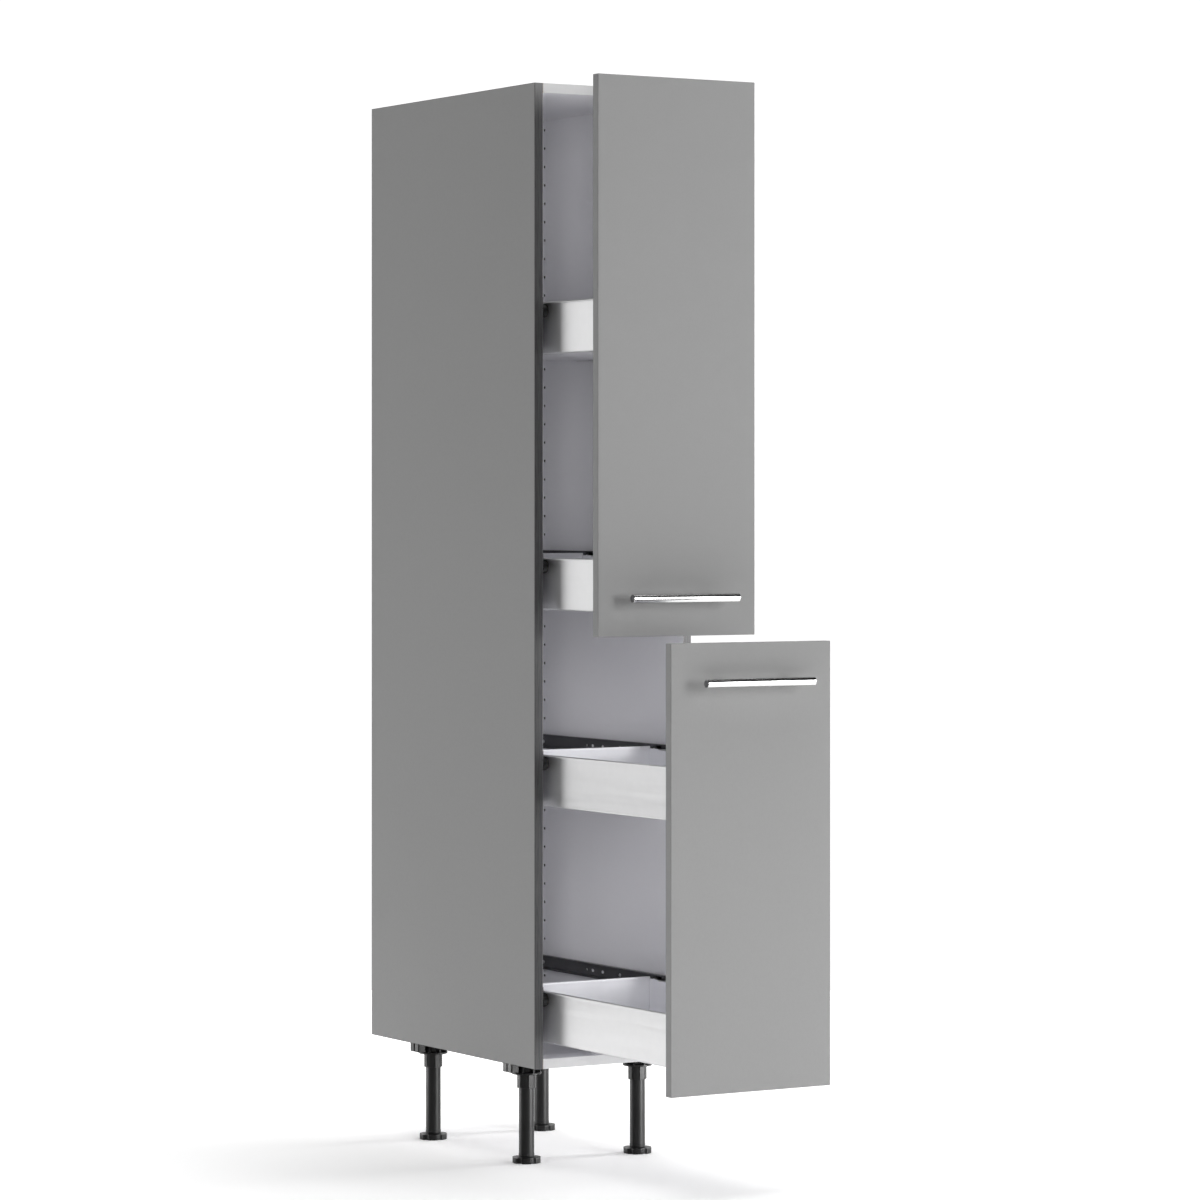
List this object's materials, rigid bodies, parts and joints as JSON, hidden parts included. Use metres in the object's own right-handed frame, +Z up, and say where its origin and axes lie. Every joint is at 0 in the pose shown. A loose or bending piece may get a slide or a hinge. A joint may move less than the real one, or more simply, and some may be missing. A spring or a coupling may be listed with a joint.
{
  "type": "pantry cabinet",
  "caption": "Tall narrow pantry cabinet on adjustable feet, with an upper and a lower pull-out front that each carry open steel trays on roller runners.",
  "frame": {"origin": "on the floor, under the middle of the whole object with its pull-outs as pictured", "axes": "+Z up, fronts face -Y, +X is to the right of someone facing the fronts"},
  "size_m": [0.3, 1.007, 1.766],
  "materials": {
    "carcass": "grey melamine, satin",
    "board": "pale melamine, satin",
    "back": "pale lacquer in front, bare brown hardboard behind",
    "front": "grey melamine, satin",
    "handle_steel": "brushed",
    "tray_steel": "pale silver lacquer, satin gloss",
    "rail_steel": "thin black coating",
    "roller_plastic": "moulded",
    "foot_plastic": "moulded, glossy black"
  },
  "bodies": {
    "carcass": {"bottom_board": "board", "top_board": "board", "back_panel": "back", "side_panel_left": "carcass", "side_panel_right": "carcass", "foot_socket_front_left": "foot_plastic", "foot_tube_front_left": "foot_plastic", "foot_socket_rear_left": "foot_plastic", "foot_tube_rear_left": "foot_plastic", "foot_socket_front_right": "foot_plastic", "foot_tube_front_right": "foot_plastic", "foot_socket_rear_right": "foot_plastic", "foot_tube_rear_right": "foot_plastic", "runner_rail_1_left": "rail_steel", "runner_rail_1_right": "rail_steel", "runner_rail_2_left": "rail_steel", "runner_rail_2_right": "rail_steel", "runner_rail_3_left": "rail_steel", "runner_rail_3_right": "rail_steel", "runner_rail_4_left": "rail_steel", "runner_rail_4_right": "rail_steel"},
    "pullout_upper": {"front_upper": "front", "handle_upper": "handle_steel", "tray_1_pan": "tray_steel", "tray_1_side_left": "tray_steel", "tray_1_side_right": "tray_steel", "tray_2_pan": "tray_steel", "tray_2_side_left": "tray_steel", "tray_2_side_right": "tray_steel"},
    "pullout_lower": {"front_lower": "front", "handle_lower": "handle_steel", "tray_3_pan": "tray_steel", "tray_3_side_left": "tray_steel", "tray_3_side_right": "tray_steel", "tray_4_pan": "tray_steel", "tray_4_side_left": "tray_steel", "tray_4_side_right": "tray_steel"},
    "front_roller_1_left": {"front_roller_1_left": "roller_plastic"},
    "front_roller_1_right": {"front_roller_1_right": "roller_plastic"},
    "front_roller_2_left": {"front_roller_2_left": "roller_plastic"},
    "front_roller_2_right": {"front_roller_2_right": "roller_plastic"},
    "front_roller_3_left": {"front_roller_3_left": "roller_plastic"},
    "front_roller_3_right": {"front_roller_3_right": "roller_plastic"},
    "front_roller_4_left": {"front_roller_4_left": "roller_plastic"},
    "front_roller_4_right": {"front_roller_4_right": "roller_plastic"},
    "rear_roller_1_left": {"rear_roller_1_left": "roller_plastic"},
    "rear_roller_1_right": {"rear_roller_1_right": "roller_plastic"},
    "rear_roller_2_left": {"rear_roller_2_left": "roller_plastic"},
    "rear_roller_2_right": {"rear_roller_2_right": "roller_plastic"},
    "rear_roller_3_left": {"rear_roller_3_left": "roller_plastic"},
    "rear_roller_3_right": {"rear_roller_3_right": "roller_plastic"},
    "rear_roller_4_left": {"rear_roller_4_left": "roller_plastic"},
    "rear_roller_4_right": {"rear_roller_4_right": "roller_plastic"},
    "foot_adjuster_front_left": {"foot_adjuster_front_left": "foot_plastic"},
    "foot_adjuster_rear_left": {"foot_adjuster_rear_left": "foot_plastic"},
    "foot_adjuster_front_right": {"foot_adjuster_front_right": "foot_plastic"},
    "foot_adjuster_rear_right": {"foot_adjuster_rear_right": "foot_plastic"}
  },
  "joints": [
    {"name": "pullout_upper_slide", "type": "slide", "parent": "carcass", "child": "pullout_upper", "axis": [0, -1, 0], "range_m": [-0.178, 0.234]},
    {"name": "pullout_lower_slide", "type": "slide", "parent": "carcass", "child": "pullout_lower", "axis": [0, -1, 0], "range_m": [-0.396, 0.016]},
    {"name": "front_roller_1_left_spin", "type": "hinge", "parent": "carcass", "child": "front_roller_1_left", "pos_m": [-0.127, -0.044, 1.3971], "axis": [1, 0, 0], "continuous": true},
    {"name": "front_roller_1_right_spin", "type": "hinge", "parent": "carcass", "child": "front_roller_1_right", "pos_m": [0.127, -0.044, 1.3971], "axis": [1, 0, 0], "continuous": true},
    {"name": "front_roller_2_left_spin", "type": "hinge", "parent": "carcass", "child": "front_roller_2_left", "pos_m": [-0.127, -0.044, 0.9811], "axis": [1, 0, 0], "continuous": true},
    {"name": "front_roller_2_right_spin", "type": "hinge", "parent": "carcass", "child": "front_roller_2_right", "pos_m": [0.127, -0.044, 0.9811], "axis": [1, 0, 0], "continuous": true},
    {"name": "front_roller_3_left_spin", "type": "hinge", "parent": "carcass", "child": "front_roller_3_left", "pos_m": [-0.127, -0.044, 0.6611], "axis": [1, 0, 0], "continuous": true},
    {"name": "front_roller_3_right_spin", "type": "hinge", "parent": "carcass", "child": "front_roller_3_right", "pos_m": [0.127, -0.044, 0.6611], "axis": [1, 0, 0], "continuous": true},
    {"name": "front_roller_4_left_spin", "type": "hinge", "parent": "carcass", "child": "front_roller_4_left", "pos_m": [-0.127, -0.044, 0.2771], "axis": [1, 0, 0], "continuous": true},
    {"name": "front_roller_4_right_spin", "type": "hinge", "parent": "carcass", "child": "front_roller_4_right", "pos_m": [0.127, -0.044, 0.2771], "axis": [1, 0, 0], "continuous": true},
    {"name": "rear_roller_1_left_spin", "type": "hinge", "parent": "pullout_upper", "child": "rear_roller_1_left", "pos_m": [-0.126, 0.2315, 1.407], "axis": [1, 0, 0], "continuous": true},
    {"name": "rear_roller_1_right_spin", "type": "hinge", "parent": "pullout_upper", "child": "rear_roller_1_right", "pos_m": [0.126, 0.2315, 1.407], "axis": [1, 0, 0], "continuous": true},
    {"name": "rear_roller_2_left_spin", "type": "hinge", "parent": "pullout_upper", "child": "rear_roller_2_left", "pos_m": [-0.126, 0.2315, 0.991], "axis": [1, 0, 0], "continuous": true},
    {"name": "rear_roller_2_right_spin", "type": "hinge", "parent": "pullout_upper", "child": "rear_roller_2_right", "pos_m": [0.126, 0.2315, 0.991], "axis": [1, 0, 0], "continuous": true},
    {"name": "rear_roller_3_left_spin", "type": "hinge", "parent": "pullout_lower", "child": "rear_roller_3_left", "pos_m": [-0.126, 0.0135, 0.671], "axis": [1, 0, 0], "continuous": true},
    {"name": "rear_roller_3_right_spin", "type": "hinge", "parent": "pullout_lower", "child": "rear_roller_3_right", "pos_m": [0.126, 0.0135, 0.671], "axis": [1, 0, 0], "continuous": true},
    {"name": "rear_roller_4_left_spin", "type": "hinge", "parent": "pullout_lower", "child": "rear_roller_4_left", "pos_m": [-0.126, 0.0135, 0.287], "axis": [1, 0, 0], "continuous": true},
    {"name": "rear_roller_4_right_spin", "type": "hinge", "parent": "pullout_lower", "child": "rear_roller_4_right", "pos_m": [0.126, 0.0135, 0.287], "axis": [1, 0, 0], "continuous": true},
    {"name": "foot_adjuster_front_left_turn", "type": "hinge", "parent": "carcass", "child": "foot_adjuster_front_left", "pos_m": [-0.107, 0.0435, 0.005], "axis": [0, 0, 1], "continuous": true},
    {"name": "foot_adjuster_rear_left_turn", "type": "hinge", "parent": "carcass", "child": "foot_adjuster_rear_left", "pos_m": [-0.107, 0.3605, 0.005], "axis": [0, 0, 1], "continuous": true},
    {"name": "foot_adjuster_front_right_turn", "type": "hinge", "parent": "carcass", "child": "foot_adjuster_front_right", "pos_m": [0.107, 0.0435, 0.005], "axis": [0, 0, 1], "continuous": true},
    {"name": "foot_adjuster_rear_right_turn", "type": "hinge", "parent": "carcass", "child": "foot_adjuster_rear_right", "pos_m": [0.107, 0.3605, 0.005], "axis": [0, 0, 1], "continuous": true}
  ],
  "couplings": [
    {"joint": "front_roller_1_left_spin", "follows": "pullout_upper_slide", "rad_per_m": 90.909},
    {"joint": "front_roller_1_right_spin", "follows": "pullout_upper_slide", "rad_per_m": 90.909},
    {"joint": "front_roller_2_left_spin", "follows": "pullout_upper_slide", "rad_per_m": 90.909},
    {"joint": "front_roller_2_right_spin", "follows": "pullout_upper_slide", "rad_per_m": 90.909},
    {"joint": "front_roller_3_left_spin", "follows": "pullout_lower_slide", "rad_per_m": 90.909},
    {"joint": "front_roller_3_right_spin", "follows": "pullout_lower_slide", "rad_per_m": 90.909},
    {"joint": "front_roller_4_left_spin", "follows": "pullout_lower_slide", "rad_per_m": 90.909},
    {"joint": "front_roller_4_right_spin", "follows": "pullout_lower_slide", "rad_per_m": 90.909},
    {"joint": "rear_roller_1_left_spin", "follows": "pullout_upper_slide", "rad_per_m": -100},
    {"joint": "rear_roller_1_right_spin", "follows": "pullout_upper_slide", "rad_per_m": -100},
    {"joint": "rear_roller_2_left_spin", "follows": "pullout_upper_slide", "rad_per_m": -100},
    {"joint": "rear_roller_2_right_spin", "follows": "pullout_upper_slide", "rad_per_m": -100},
    {"joint": "rear_roller_3_left_spin", "follows": "pullout_lower_slide", "rad_per_m": -100},
    {"joint": "rear_roller_3_right_spin", "follows": "pullout_lower_slide", "rad_per_m": -100},
    {"joint": "rear_roller_4_left_spin", "follows": "pullout_lower_slide", "rad_per_m": -100},
    {"joint": "rear_roller_4_right_spin", "follows": "pullout_lower_slide", "rad_per_m": -100}
  ]
}
